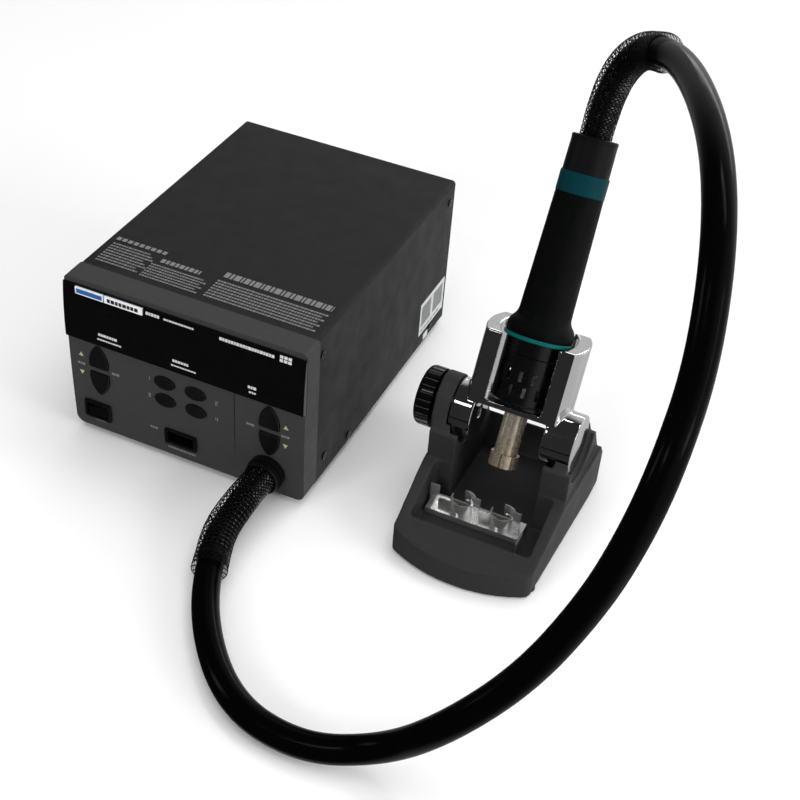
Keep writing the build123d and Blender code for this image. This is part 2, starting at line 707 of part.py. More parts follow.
def nozzle_rack():
    """Bent sheet rack: pierced shelf on two flanges, three tabs joined by a bar, two open ring clips."""
    width = RACK_X1 - RACK_X0
    mid = STAND_CX + (RACK_X0 + RACK_X1) / 2
    top = RACK_Z + RACK_T
    with BuildPart() as rack:
        with Locations((mid, -75.5, RACK_Z + RACK_T / 2)):
            Box(width, 17, RACK_T)
        with Locations((mid, -75.5, (TRAY_FLOOR + top) / 2)):
            with GridLocations(1, 17 - RACK_T, 1, 2):
                Box(width, RACK_T, top - TRAY_FLOOR)
        with Locations(*[(STAND_CX + x, RACK_Y, top + 7.5) for x in (-36.7, -7.5, 21.5)]):
            Box(6.4, RACK_T, 16.0)
        with Locations((STAND_CX - 7.6, RACK_Y, top + 7.0)):
            Box(55, RACK_T, 2.6)
        for x, y in RACK_CLIPS:
            with BuildSketch(Plane.XY.offset(top - 0.2)):
                with Locations((STAND_CX + x, y)):
                    Circle(8.6)
                    Circle(7.5, mode=Mode.SUBTRACT)
                with Locations((STAND_CX + x - 7, y + 7)):
                    Rectangle(9, 9, rotation=45, mode=Mode.SUBTRACT)
            extrude(amount=9.5)
        with BuildSketch(Plane.XY.offset(TRAY_FLOOR)):
            with Locations(*[(STAND_CX + x, y) for x, y in RACK_CLIPS]):
                Circle(5.2)
        extrude(amount=8, mode=Mode.SUBTRACT)
        with Locations((STAND_CX + RACK_X1 + 1.6, -88.0, TRAY_FLOOR + 5.0)):
            Box(RACK_T, 12, 10)
        with Locations((STAND_CX + RACK_X1 + 0.6, -83.4, TRAY_FLOOR + 3.0)):
            Box(3.2, RACK_T, 6)
    return rack.part


def cradle():
    """Plated cradle: bored posts, round outside and sloping on top, thin floor, two hub drums."""
    with BuildPart() as body:
        with BuildSketch(GUN.offset(FLOOR_S)):
            Circle(POST_OUT)
            Rectangle(2 * POST_OUT, 2 * POST_HALF, mode=Mode.INTERSECT)
        extrude(amount=80)
        with BuildSketch(GUN.offset(FLOOR_S + FLOOR_T)):
            Circle(POST_IN)
        extrude(amount=90, mode=Mode.SUBTRACT)
        with BuildSketch(GUN_SIDE):
            Polygon((-40, POST_TOP - 40 * POST_SLOPE), (40, POST_TOP + 40 * POST_SLOPE),
                    (40, 140), (-40, 140), align=None)
        extrude(amount=60, both=True, mode=Mode.SUBTRACT)
        for side, end in ((-1, HUB_LEFT), (1, HUB_RIGHT)):
            with BuildSketch(Plane.YZ.offset(STAND_CX + side * HUB_IN)):
                with Locations((HUB_Y, HUB_Z)):
                    Circle(HUB_R)
            extrude(amount=side * (end - HUB_IN))
        with BuildSketch(GUN.offset(FLOOR_S + FLOOR_T)):
            Circle(POST_IN)
        extrude(amount=30, mode=Mode.SUBTRACT)
        with BuildSketch(GUN.offset(-40)):
            Circle(NOZZLE_HOLE_R)
        extrude(amount=60, mode=Mode.SUBTRACT)
        with BuildSketch(Plane.YZ.offset(STAND_CX)):
            with Locations((HUB_Y, HUB_Z)):
                Circle(4.05)
        extrude(amount=-80, mode=Mode.SUBTRACT)
    return body.part


def friction_washer():
    """Thin black washer between the left hub drum and its ear."""
    with BuildPart() as washer:
        with BuildSketch(Plane.YZ.offset(STAND_CX - HUB_LEFT - WASHER_GAP)):
            with Locations((HUB_Y, HUB_Z)):
                Circle(HUB_R - 0.6)
                Circle(4.4, mode=Mode.SUBTRACT)
        extrude(amount=-WASHER_T)
    return washer.part


def saddle_liner():
    """Black half-round liner between the right hub drum and its saddle."""
    with BuildPart() as liner:
        with BuildSketch(Plane.YZ.offset(STAND_CX + EAR_IN + 1)):
            with Locations((HUB_Y, HUB_Z)):
                Circle(SADDLE_R - 0.1)
                Circle(HUB_R + 0.3, mode=Mode.SUBTRACT)
            with Locations((HUB_Y, HUB_Z + 23)):
                Rectangle(60, 60, mode=Mode.SUBTRACT)
        extrude(amount=EAR_RIGHT - EAR_IN - 1.4)
    return liner.part


def clamp_stud():
    """Clamp stud on the knob side, fixed in the left ear."""
    with BuildPart() as stud:
        with BuildSketch(Plane.YZ.offset(STAND_CX - HUB_IN - 3)):
            with Locations((HUB_Y, HUB_Z)):
                Circle(4.0)
        extrude(amount=-(60.0 - HUB_IN - 3))
    return stud.part


KNOB_R = 20.8
KNOB_X = -53.6           # face beside the left ear, from the stand's middle plane
KNOB_T = 11.6


def tilt_knob():
    """Round clamping knob with a blind bore and grip flutes."""
    with BuildPart() as knob:
        with BuildSketch(Plane.YZ.offset(STAND_CX + KNOB_X)):
            with Locations((HUB_Y, HUB_Z)):
                Circle(KNOB_R)
        extrude(amount=-KNOB_T)
        fillet(knob.faces().sort_by(Axis.X)[0].edges(), 3.6)
        with BuildSketch(Plane.YZ.offset(STAND_CX + KNOB_X)):
            with Locations((HUB_Y, HUB_Z)):
                with PolarLocations(KNOB_R + 0.5, 26):
                    Circle(1.3)
        extrude(amount=-9.5, mode=Mode.SUBTRACT)
        with BuildSketch(Plane.YZ.offset(STAND_CX + KNOB_X)):
            with Locations((HUB_Y, HUB_Z)):
                Circle(4.05)
        extrude(amount=-7.0, mode=Mode.SUBTRACT)
    return knob.part


# ---------------------------------------------------------------- hot air gun
def sleeve(profile):
    """A round piece on the gun axis, revolved from its half section (radius, S)."""
    with BuildPart() as turned:
        with BuildSketch(GUN_SECTION):
            Polygon(*profile, align=None)
        revolve(axis=GUN_AXIS)
    return turned.part


def gun_ring():
    """Bright ring clamped between the barrel and the grip."""
    return sleeve([(14.0, RING_S), (23.0, RING_S), (23.3, RING_S + 0.5), (23.3, FLANGE_S - 0.5),
                   (23.0, FLANGE_S), (14.0, FLANGE_S)])


def gun_band():
    """Coloured band near the top of the grip."""
    return sleeve([(13.0, BAND_S0), (15.8, BAND_S0), (16.1, BAND_S0 + 0.4), (16.1, BAND_S1 - 0.4),
                   (15.8, BAND_S1), (13.0, BAND_S1)])


def gun_tail():
    """Tail sleeve with a thick open rim around the hose boot."""
    boot = BOOT_R + 0.2
    return sleeve([(boot, BAND_S1), (15.4, BAND_S1), (15.1, TAIL_S - 3), (15.4, TAIL_S - 1.4),
                   (15.1, TAIL_S - 0.4), (14.4, TAIL_S), (13.6, TAIL_S - 0.4), (12.8, TAIL_S - 6),
                   (boot, TAIL_S - 7)])


def gun_barrel():
    """Heat guard tube of the gun: foot rim, waist groove and two staggered rows of vent slots."""
    foot = BARREL_S0 + 0.2
    with BuildPart() as barrel:
        add(sleeve([(8.1, foot), (21.2, foot), (21.6, foot + 0.5), (21.6, foot + 2.4), (20.5, foot + 3.2),
                    (20.5, 47.4), (20.1, 47.8), (20.5, 48.2), (20.5, RING_S), (18.5, RING_S),
                    (18.5, foot + 2.0), (8.1, foot + 2.0)]))
        for start, turn in ((21.0, 0.0), (31.0, 180.0 / VENTS)):
            with BuildSketch(GUN.offset(start)):
                with PolarLocations(19.5, VENTS, start_angle=turn):
                    Rectangle(5, 2.4)
            extrude(amount=7.0, mode=Mode.SUBTRACT)
    return barrel.part


def heater_core():
    """Ceramic heater former with four flats and a terminal disc."""
    with BuildPart() as core:
        with BuildSketch(GUN.offset(BARREL_S0 + 6)):
            Circle(10.0)
            with PolarLocations(6.0, 6):
                Circle(1.8, mode=Mode.SUBTRACT)
        extrude(amount=59)
    return core.part


def nozzle():
    """Round outlet nozzle: flanged root, fluted tube and slotted end collar."""
    with BuildPart() as tip:
        with BuildSketch(GUN.offset(-30)):
            Circle(8.0)
        extrude(amount=BARREL_S0 + 5.3 + 30)
        with BuildSketch(GUN.offset(-30)):
            Circle(9.7)
        extrude(amount=9)
        with BuildSketch(GUN.offset(BARREL_S0 + 2.3)):
            Circle(11.0)
        extrude(amount=3)
        with BuildSketch(GUN.offset(-31)):
            Circle(6.6)
        extrude(amount=50, mode=Mode.SUBTRACT)
        with BuildSketch(GUN.offset(-31)):
            with PolarLocations(9.0, 8):
                Rectangle(3.4, 1.0)
        extrude(amount=10.1, mode=Mode.SUBTRACT)
        with BuildSketch(GUN.offset(-21)):
            with PolarLocations(8.0, FLUTES, start_angle=10):
                Rectangle(0.9, 1.1)
        extrude(amount=33, mode=Mode.SUBTRACT)
    return tip.part


def gun_grip():
    """Hollow tapered grip, its lower end belled out into a rounded shoulder."""
    bore = 13.6
    with BuildPart() as grip:
        with BuildSketch(GUN_SECTION):
            with BuildLine():
                Polyline((15.9, BAND_S0), (bore, BAND_S0), (bore, FLANGE_S), (22.0, FLANGE_S),
                         (22.4, FLANGE_S + 1.5))
                ThreePointArc((22.4, FLANGE_S + 1.5), (22.3, GRIP_S0), (20.4, GRIP_S0 + 3.8))
                ThreePointArc((20.4, GRIP_S0 + 3.8), (18.4, GRIP_S0 + 6.6), (17.5, GRIP_S0 + 10.5))
                Line((17.5, GRIP_S0 + 10.5), (15.9, BAND_S0))
            make_face()
        revolve(axis=GUN_AXIS)
    return grip.part


# ---------------------------------------------------------------- hose
# centre line of the hose: outlet, table curve in front, rise, high arc, gun tail
HOSE_ROUTE = [
    (-22, -112, 23), (-22, -143, 23), (-25.7, -179, 11.6), (-1.2, -236, 8.9),
    (45.5, -285.5, 8.9), (97.2, -295.3, 8.9), (141.6, -282.3, 19.3), (177.9, -287, 65.1),
    (211.4, -270.4, 107.2), (233.8, -252.9, 156.5), (245.8, -248.3, 205), (251.2, -232.8, 241.5),
    (249.6, -186.4, 269.8), (237.6, -142.8, 314.6), (214.6, -79.1, 331.5), (177.5, 6.5, 322.9),
    (147.7, 49.6, 307.5), (130.5, 64.0, 286.0), (122, 62.7, 258.2), (122, 49.4, 233.5),
]
STATION_BOOT_END = 20.0  # how far each boot runs past its last corner
GUN_BOOT_END = 20.0


def corner_radii(route):
    """One bend radius per corner: 0.45 of the shorter run over tan(half the turn)."""
    radii = []
    for before, here, after in zip(route, route[1:], route[2:]):
        run_in = Vector(*here) - Vector(*before)
        run_out = Vector(*after) - Vector(*here)
        half_turn = radians(run_in.get_angle(run_out)) / 2
        radii.append(0.45 * min(run_in.length, run_out.length) / tan(half_turn))
    return radii


def tube(route, radii, outer, inner=0.0):
    """Round tube along straight runs joined by tangent arcs."""
    with BuildPart() as body:
        with BuildLine() as path:
            FilletPolyline(*route, radius=radii)
        with BuildSketch(Plane(origin=path.line @ 0, z_dir=path.line % 0)):
            Circle(outer)
            if inner > 0:
                Circle(inner, mode=Mode.SUBTRACT)
        sweep(path=path.line)
    section = pi * (outer ** 2 - inner ** 2)
    length = path.wire().length
    print("tube length", round(length, 1), "volume ratio", round(body.part.volume / (section * length), 4))
    return body.part


def past(route, here, after, distance):
    """Point on the run from one corner to the next, a given distance along it."""
    start, stop = Vector(*route[here]), Vector(*route[after])
    point = start + (stop - start).normalized() * distance
    return (point.X, point.Y, point.Z)


HOSE_RADII = corner_radii(HOSE_ROUTE)
print("hose radii", [round(r) for r in HOSE_RADII])
STATION_BOOT_ROUTE = HOSE_ROUTE[:3] + [past(HOSE_ROUTE, 2, 3, STATION_BOOT_END)]
GUN_BOOT_ROUTE = HOSE_ROUTE[:-5:-1] + [past(HOSE_ROUTE, -4, -5, GUN_BOOT_END)]

save(case_cover(), "case_cover")
save(chassis(), "chassis")
save(rear_panel(), "rear_panel")
save(mains_inlet(), "mains_inlet")
save(inlet_pins(), "inlet_pins")
save(inlet_screws(), "inlet_screws")
save(case_screws(), "case_screws")
save(rubber_feet(), "rubber_feet")
save(bezel(), "bezel")
save(display_window(), "display_window")
save(badge_plate(), "badge_plate")
save(display_board(), "display_board")
save(control_board(), "control_board")
for key_name, (key_x, key_z, key_way) in SHIELD_KEYS.items():
    save(shield_key(key_x, key_z, key_way), "key_" + key_name)
for key_name, (key_x, key_z) in OVAL_KEYS.items():
    save(oval_key(key_x, key_z), "key_" + key_name)
save(rocker_frame(), "rocker_frame")
save(rocker_key(), "rocker_key")
save(port_socket(), "port_socket")
save(outlet_collar(), "outlet_collar")
save(transformer(), "transformer")
save(blower_housing(), "blower_housing")
save(blower_motor(), "blower_motor")
save(blower_impeller(), "blower_impeller")
save(stand_base(), "stand_base")
save(stand_feet(), "stand_feet")
save(nozzle_rack(), "nozzle_rack")
save(cradle(), "cradle")
save(clamp_stud(), "clamp_stud")
save(friction_washer(), "friction_washer")
save(saddle_liner(), "saddle_liner")
save(tilt_knob(), "tilt_knob")
save(gun_barrel(), "gun_barrel")
save(heater_core(), "heater_core")
save(nozzle(), "nozzle")
save(gun_grip(), "gun_grip")
save(gun_ring(), "gun_ring")
save(gun_band(), "gun_band")
save(gun_tail(), "gun_tail")
save(tube(HOSE_ROUTE, HOSE_RADII, HOSE_R), "hose")
save(tube(STATION_BOOT_ROUTE, HOSE_RADII[:2], BOOT_R, HOSE_R + 0.05), "station_boot")
save(tube(GUN_BOOT_ROUTE, HOSE_RADII[:-4:-1], BOOT_R, HOSE_R + 0.05), "gun_boot")
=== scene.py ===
import json
import math

import bpy
from mathutils import Matrix, Vector
from mathutils.bvhtree import BVHTree

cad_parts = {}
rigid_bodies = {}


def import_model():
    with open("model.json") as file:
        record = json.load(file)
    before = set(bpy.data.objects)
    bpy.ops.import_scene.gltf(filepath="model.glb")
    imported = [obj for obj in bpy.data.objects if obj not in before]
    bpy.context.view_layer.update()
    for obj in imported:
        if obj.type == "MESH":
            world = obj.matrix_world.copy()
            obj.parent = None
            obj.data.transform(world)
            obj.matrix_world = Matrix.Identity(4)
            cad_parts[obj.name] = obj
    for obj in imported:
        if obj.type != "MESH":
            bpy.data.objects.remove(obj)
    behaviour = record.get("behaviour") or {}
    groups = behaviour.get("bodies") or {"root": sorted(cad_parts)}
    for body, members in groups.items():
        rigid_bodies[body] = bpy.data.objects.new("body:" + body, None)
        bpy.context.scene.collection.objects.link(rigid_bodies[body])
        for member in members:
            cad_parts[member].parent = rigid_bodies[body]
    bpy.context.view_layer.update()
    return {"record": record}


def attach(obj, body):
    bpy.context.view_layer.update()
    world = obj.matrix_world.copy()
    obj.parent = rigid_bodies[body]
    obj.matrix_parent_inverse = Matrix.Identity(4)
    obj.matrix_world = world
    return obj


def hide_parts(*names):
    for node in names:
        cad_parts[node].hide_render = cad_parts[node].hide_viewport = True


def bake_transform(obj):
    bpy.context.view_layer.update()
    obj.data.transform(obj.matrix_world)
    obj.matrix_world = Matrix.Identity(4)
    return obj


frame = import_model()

MM = 0.001

# ---------------------------------------------------------------- camera
LENS = 64.70             # mm
CAMERA_AT = Vector((0.3157, -0.7467, 0.6778))
FAR_AWAY = 30            # metres, past the floor's edge
AZIMUTH, ELEVATION, ROLL = (math.radians(a) for a in (21.2737, 39.3052, -4.8480))


def make_camera():
    """Camera above and to the right of the front, with a small roll."""
    back = Vector((math.sin(AZIMUTH) * math.cos(ELEVATION),
                   -math.cos(AZIMUTH) * math.cos(ELEVATION), math.sin(ELEVATION)))
    level = Vector((math.cos(AZIMUTH), math.sin(AZIMUTH), 0))
    upright = back.cross(level)
    right = level * math.cos(ROLL) - upright * math.sin(ROLL)
    top = level * math.sin(ROLL) + upright * math.cos(ROLL)
    data = bpy.data.cameras.new("camera")
    data.lens = LENS
    data.clip_end = FAR_AWAY
    camera = bpy.data.objects.new("camera", data)
    camera.matrix_world = Matrix.Translation(CAMERA_AT) @ Matrix((right, top, back)).transposed().to_4x4()
    bpy.context.collection.objects.link(camera)
    bpy.context.scene.camera = camera


make_camera()


# ---------------------------------------------------------------- mesh helpers
def make_object(name, verts, faces, smooth=True):
    """A new mesh object in the scene."""
    mesh = bpy.data.meshes.new(name)
    mesh.from_pydata([tuple(v) for v in verts], [], faces)
    mesh.validate()
    mesh.polygons.foreach_set("use_smooth", [smooth and len(face.vertices) < 5 for face in mesh.polygons])
    mesh.update()
    piece = bpy.data.objects.new(name, mesh)
    bpy.context.collection.objects.link(piece)
    return piece


def line_length(points):
    """Length of a polyline."""
    return sum((b - a).length for a, b in zip(points, points[1:]))


def resample(points, step):
    """Points an even distance apart along a polyline, its ends kept."""
    total = line_length(points)
    count = max(2, round(total / step))
    out, i, done = [points[0].copy()], 0, 0.0
    for k in range(1, count):
        want = total * k / count
        while done + (points[i + 1] - points[i]).length < want:
            done += (points[i + 1] - points[i]).length
            i += 1
        out.append(points[i].lerp(points[i + 1], (want - done) / (points[i + 1] - points[i]).length))
    return out + [points[-1].copy()]


def rings_along(points):
    """(point, side, up, tangent) along a line, twisting as little as possible."""
    out, side = [], None
    for i, point in enumerate(points):
        tangent = (points[min(i + 1, len(points) - 1)] - points[max(i - 1, 0)]).normalized()
        side = tangent.orthogonal() if side is None else side - tangent * side.dot(tangent)
        side = side.normalized()
        out.append((point, side, tangent.cross(side), tangent))
    return out


def around(centre, side, up, angle, radius):
    """The place at an angle round a centre, in the plane of side and up."""
    return centre + (side * math.cos(angle) + up * math.sin(angle)) * radius


def loft(rings, first=0):
    """Vertices and faces of equal rings joined one after the other, with flat ends, counted from first."""
    sides = len(rings[0])
    verts = [v for ring in rings for v in ring]
    faces = []
    for i in range(len(rings) - 1):
        for k in range(sides):
            a, b = i * sides + k, i * sides + (k + 1) % sides
            faces.append((first + a, first + b, first + b + sides, first + a + sides))
    faces.append(tuple(first + k for k in reversed(range(sides))))
    faces.append(tuple(first + (len(rings) - 1) * sides + k for k in range(sides)))
    return verts, faces


def tube(name, points, radius, sides=48):
    """A solid round tube along points; radius is a number or a function of the share along it."""
    rings = []
    frames = rings_along(points)
    for i, (p, side, up, _) in enumerate(frames):
        r = radius(i / (len(frames) - 1)) if callable(radius) else radius
        rings.append([around(p, side, up, 2 * math.pi * k / sides, r) for k in range(sides)])
    return make_object(name, *loft(rings))


# corners of a flat wire, in half widths and half thicknesses
WIRE_SECTION = ((1, 0), (0.6, 1), (-0.6, 1), (-1, 0), (-0.6, -1), (0.6, -1))


def wires(name, lines, half_width, half_thick, axis_lines):
    """Flat wires along many lines; each line's flat side faces away from its axis line."""
    verts, faces = [], []
    for line, axis in zip(lines, axis_lines):
        rings = []
        for (p, _, _, tangent), centre in zip(rings_along(line), axis):
            out = (p - centre).normalized()
            across = tangent.cross(out).normalized()
            rings.append([p + across * half_width * a + out * half_thick * b for a, b in WIRE_SECTION])
        more_verts, more_faces = loft(rings, len(verts))
        verts += more_verts
        faces += more_faces
    return make_object(name, verts, faces)


# ---------------------------------------------------------------- hose
HOSE_D = 0.0175
# centre line of the hose, mm: outlet, table curve in front, rise, high arc, gun tail
HOSE_ROUTE = [
    (-22, -112, 23), (-22, -143, 23), (-25.7, -179, 11.6), (-1.2, -236, 8.9),
    (45.5, -285.5, 8.9), (97.2, -295.3, 8.9), (141.6, -282.3, 19.3), (177.9, -287, 65.1),
    (211.4, -270.4, 107.2), (233.8, -252.9, 156.5), (245.8, -248.3, 205), (251.2, -232.8, 241.5),
    (249.6, -186.4, 269.8), (237.6, -142.8, 314.6), (214.6, -79.1, 331.5), (177.5, 6.5, 322.9),
    (147.7, 49.6, 307.5), (130.5, 64.0, 286.0), (122, 62.7, 258.2), (122, 49.4, 233.5),
]
SPLIT_HEIGHT = 0.285     # the hose is two pieces, joined here on its way up
STATION_BOOT, GUN_BOOT = 0.090, 0.106   # lengths of the two strain reliefs
SPRING_R, SPRING_WIRE_R = 0.00925, 0.00052
CLOSE_PITCH, OPEN_PITCH = 0.0014, 0.0033
OPENING_OUT = 0.012      # length over which the spring's turns open out
TURN_SIDES = 28          # points in one turn of the spring
STRANDS, STRAND_HALF_WIDTH, STRAND_HALF_THICK = 20, 0.00038, 0.00014
WEAVE = 0.00016          # how far the strands pass over and under each other
TABLE_REST = 0.0007      # lowest place of a strand's middle line
HEM_SIDES = 48


def smooth_route(route):
    """Points of the smooth NURBS line that has the route as its control points."""
    curve = bpy.data.curves.new("route", "CURVE")
    curve.dimensions = "3D"
    curve.resolution_u = 24
    spline = curve.splines.new("NURBS")
    spline.points.add(len(route) - 1)
    for point, place in zip(spline.points, route):
        point.co = (place[0] * MM, place[1] * MM, place[2] * MM, 1)
    spline.order_u = 3
    spline.use_endpoint_u = True
    holder = bpy.data.objects.new("route", curve)
    bpy.context.collection.objects.link(holder)
    bpy.context.view_layer.update()
    points = [v.co.copy() for v in bpy.data.meshes.new_from_object(holder).vertices]
    bpy.data.objects.remove(holder)
    return points


HOSE_LINE = resample(smooth_route(HOSE_ROUTE), 0.0035)
SPLIT = next(i for i, p in enumerate(HOSE_LINE) if p.z > SPLIT_HEIGHT)
NEAR_SPLIT = [HOSE_LINE[SPLIT].lerp(HOSE_LINE[SPLIT + k], 0.05) for k in (-1, 1)]
LOWER_LINE = HOSE_LINE[:SPLIT] + [NEAR_SPLIT[0], HOSE_LINE[SPLIT]]
UPPER_LINE = HOSE_LINE[:SPLIT:-1] + [NEAR_SPLIT[1], HOSE_LINE[SPLIT]]


def boot_line(points, length, start=0.0):
    """The stretch of a line from start to start + length, finely divided."""
    fine = resample(points, 0.0005)
    step = line_length(fine) / (len(fine) - 1)
    return fine[round(start / step):round((start + length) / step) + 1]


def coil(name, points, close_length):
    """A spring round a line: close wound at first, then with open turns."""
    frames = rings_along(points)
    step = line_length(points) / (len(points) - 1)
    line, angle, done = [], 0.0, 0.0
    while done < step * (len(points) - 1):
        share = min(1.0, max(0.0, (done - close_length) / OPENING_OUT))
        pitch = CLOSE_PITCH + (OPEN_PITCH - CLOSE_PITCH) * share
        i = min(int(done / step), len(frames) - 1)
        p, side, up, tangent = frames[i]
        line.append(around(p + tangent * (done - i * step), side, up, angle, SPRING_R))
        angle += 2 * math.pi / TURN_SIDES
        done += pitch / TURN_SIDES
    return tube(name, line, SPRING_WIRE_R, 8)


def on_table(spot):
    """The same place, lifted to lie on the table where it would sink into it."""
    return Vector((spot.x, spot.y, max(spot.z, TABLE_REST)))


def sleeve_radius(share):
    """Radius of the braided sleeve, wider towards its open end."""
    return 0.0103 + 0.0010 * min(1, share * 2) + 0.0004 * max(0, share - 0.86) / 0.14


def ferrule_radius(share):
    """Radius of the ferrule, rounded at both ends."""
    return 0.0090 + 0.0010 * min(1, 6 * min(share, 1 - share))


def braid(name, points, shift):
    """A braided sleeve: flat strands winding both ways round a line, over and under each other.

    Between its ends the sleeve stands off the spring on the side that shift points to.
    """
    count = len(points) - 1
    points = [p + Vector(shift) * math.sin(math.pi * min(1, 1.15 * i / count)) for i, p in enumerate(points)]
    frames = rings_along(points)[::3]
    step = line_length(points) / (len(points) - 1) * 3
    lines, centres = [], []
    for way in (1, -1):
        for k in range(STRANDS):
            line, axis = [], []
            turned = 2 * math.pi * k / STRANDS
            for i, (p, side, up, _) in enumerate(frames):
                r = sleeve_radius(i / (len(frames) - 1))
                weave = WEAVE * way * math.cos(STRANDS * turned)
                line.append(on_table(around(p, side, up, turned, r + weave)))
                axis.append(p)
                turned += way * step / r
            lines.append(line)
            centres.append(axis)
    end, side, up, _ = frames[-1]
    hem = [on_table(around(end, side, up, 2 * math.pi * k / HEM_SIDES, sleeve_radius(1.0)))
           for k in range(HEM_SIDES + 2)]
    lines.append(hem)
    centres.append([end] * len(hem))
    return wires(name, lines, STRAND_HALF_WIDTH, STRAND_HALF_THICK, centres)


def make_boot(name, points, length, close_length, shift):
    """Strain relief: spring on the hose, braided sleeve over it, and a ferrule inside its open end."""
    spring = coil(name + "_spring", boot_line(points, length - 0.014, 0.001), close_length)
    sleeve = braid(name + "_sleeve", boot_line(points, length), shift)
    ferrule = tube(name + "_ferrule", boot_line(points, 0.0065, length - 0.0145), ferrule_radius)
    return spring, sleeve, ferrule


def make_hose():
    """The hose from the outlet to the gun, with its strain reliefs; gives the pieces of each look."""
    lower = tube("hose_lower", LOWER_LINE, HOSE_D / 2)
    upper = tube("hose_upper", UPPER_LINE, HOSE_D / 2)
    station = make_boot("station_boot", LOWER_LINE, STATION_BOOT, 0.026, (-0.0016, -0.0004, 0.0008))
    gun = make_boot("gun_boot", UPPER_LINE, GUN_BOOT, 0.046, (-0.0009, 0.0008, 0.0014))
    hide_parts("hose")
    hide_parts("station_boot")
    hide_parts("gun_boot")
    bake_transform(lower)
    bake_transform(upper)
    for piece in station:
        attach(piece, "root")
    for piece in gun:
        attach(piece, "gun")
    return {"hose_rubber": (lower, upper), "boot_mesh": (station[1], gun[1]),
            "spring_wire": (station[0], gun[0]), "barrel_black": (station[2], gun[2])}


HOSE_PIECES = make_hose()


# ---------------------------------------------------------------- materials
class Look:
    """One node-based material, built up step by step."""

    def __init__(self, name, color, metallic=0.0, specular=0.5, coat=0.0):
        self.material = bpy.data.materials.new(name)
        self.material.use_nodes = True
        self.tree = self.material.node_tree
        self.shader = self.tree.nodes["Principled BSDF"]
        self.color = color
        for socket, value in (("Base Color", (*color, 1)), ("Metallic", metallic),
                              ("Specular IOR Level", specular), ("Coat Weight", coat)):
            self.shader.inputs[socket].default_value = value
        self.place = self.tree.nodes.new("ShaderNodeTexCoord").outputs["Object"]
        self.normal = None

    def node(self, kind, inputs=(), **settings):
        """Add a node, set its settings, and fill its inputs with values or links."""
        node = self.tree.nodes.new(kind)
        for key, value in settings.items():
            setattr(node, key, value)
        for key, value in dict(inputs).items():
            if isinstance(value, bpy.types.NodeSocket):
                self.tree.links.new(value, node.inputs[key])
            else:
                node.inputs[key].default_value = value
        return node

    def noise(self, scale, detail=3.0, stretch=(1, 1, 1), roughness=0.55):
        """Noise of that many grains per metre, stretched along the axes."""
        place = self.place
        if stretch != (1, 1, 1):
            place = self.node("ShaderNodeMapping", {"Vector": place, "Scale": stretch}).outputs[0]
        return self.node("ShaderNodeTexNoise", {"Vector": place, "Scale": scale, "Detail": detail,
                                                "Roughness": roughness}).outputs["Fac"]

    def spread(self, value, low, high, start=0.3, end=0.7):
        """Map a share between start and end to the range from low to high."""
        return self.node("ShaderNodeMapRange", {"Value": value, "From Min": start, "From Max": end,
                                                "To Min": low, "To Max": high}).outputs[0]

    def rough(self, low, high, scale, detail=4.0):
        """Roughness that drifts between two values, like handling marks."""
        drift = self.spread(self.noise(scale, detail), low, high)
        self.tree.links.new(drift, self.shader.inputs["Roughness"])
        return self

    def tint(self, other, scale, amount, detail=4.0, stretch=(1, 1, 1)):
        """Blotches of another colour over the base colour."""
        share = self.spread(self.noise(scale, detail, stretch), 0.0, amount)
        mixed = self.mix(share, self.color, other)
        self.tree.links.new(mixed, self.shader.inputs["Base Color"])
        return self

    def mix(self, share, first, second):
        """Mix two colours, or two colour sockets, by a share."""
        node = self.node("ShaderNodeMix", data_type="RGBA")
        for index, value in ((0, share), (6, first), (7, second)):
            if isinstance(value, bpy.types.NodeSocket):
                self.tree.links.new(value, node.inputs[index])
            else:
                node.inputs[index].default_value = value if index == 0 else (*value, 1)
        return node.outputs[2]

    def bump(self, height, strength, depth):
        """Add bump from a height share; several add up."""
        inputs = {"Height": height, "Strength": strength, "Distance": depth}
        if self.normal:
            inputs["Normal"] = self.normal
        self.normal = self.node("ShaderNodeBump", inputs).outputs[0]
        self.tree.links.new(self.normal, self.shader.inputs["Normal"])
        return self

    def grain(self, scale, strength, depth=0.0003, detail=2.0, stretch=(1, 1, 1)):
        """Fine surface grain."""
        return self.bump(self.noise(scale, detail, stretch), strength, depth)

    def wave(self, scale, axis="X", distortion=0.0):
        """Straight stripes along one axis, that many per metre times about six."""
        inputs = {"Vector": self.place, "Scale": scale, "Distortion": distortion}
        return self.node("ShaderNodeTexWave", inputs, bands_direction=axis).outputs["Fac"]


def powder_coat(name, color):
    """Fine textured powder coat on sheet metal."""
    look = Look(name, color, specular=0.14)
    look.rough(0.42, 0.55, 60).tint([c * 1.25 for c in color], 220, 0.5)
    return look.grain(2600, 0.22, 0.0002).grain(900, 0.08, 0.0002).material


def moulded(name, color, rough=(0.38, 0.5), grain=0.18, specular=0.3):
    """Fine spark-eroded moulding texture."""
    look = Look(name, color, specular=specular)
    look.rough(*rough, 90).tint([c * 1.3 for c in color], 300, 0.4)
    return look.grain(3500, grain, 0.00015).material


def polished(name, color, coat):
    """Polished plastic with faint handling marks."""
    look = Look(name, color, specular=0.45, coat=coat)
    look.rough(0.06, 0.16, 130, 6).tint([c * 1.6 + 0.001 for c in color], 80, 0.3)
    return look.grain(260, 0.015, 0.0003).material


def chrome():
    """Dark mirror plating, slightly uneven, with light wipe marks."""
    look = Look("plated", (0.69, 0.69, 0.70), metallic=1.0)
    look.rough(0.03, 0.08, 150, 7).tint((0.55, 0.55, 0.56), 60, 0.5)
    return look.grain(45, 0.02, 0.0006).material


def brushed(name, color, stretch, rough=(0.22, 0.4)):
    """Brushed metal, its lines along the axis that is stretched least."""
    look = Look(name, color, metallic=1.0)
    look.rough(*rough, 300).tint([c * 0.7 for c in color], 500, 0.6, 3.0, stretch)
    return look.grain(900, 0.12, 0.0002, 2.0, stretch).material


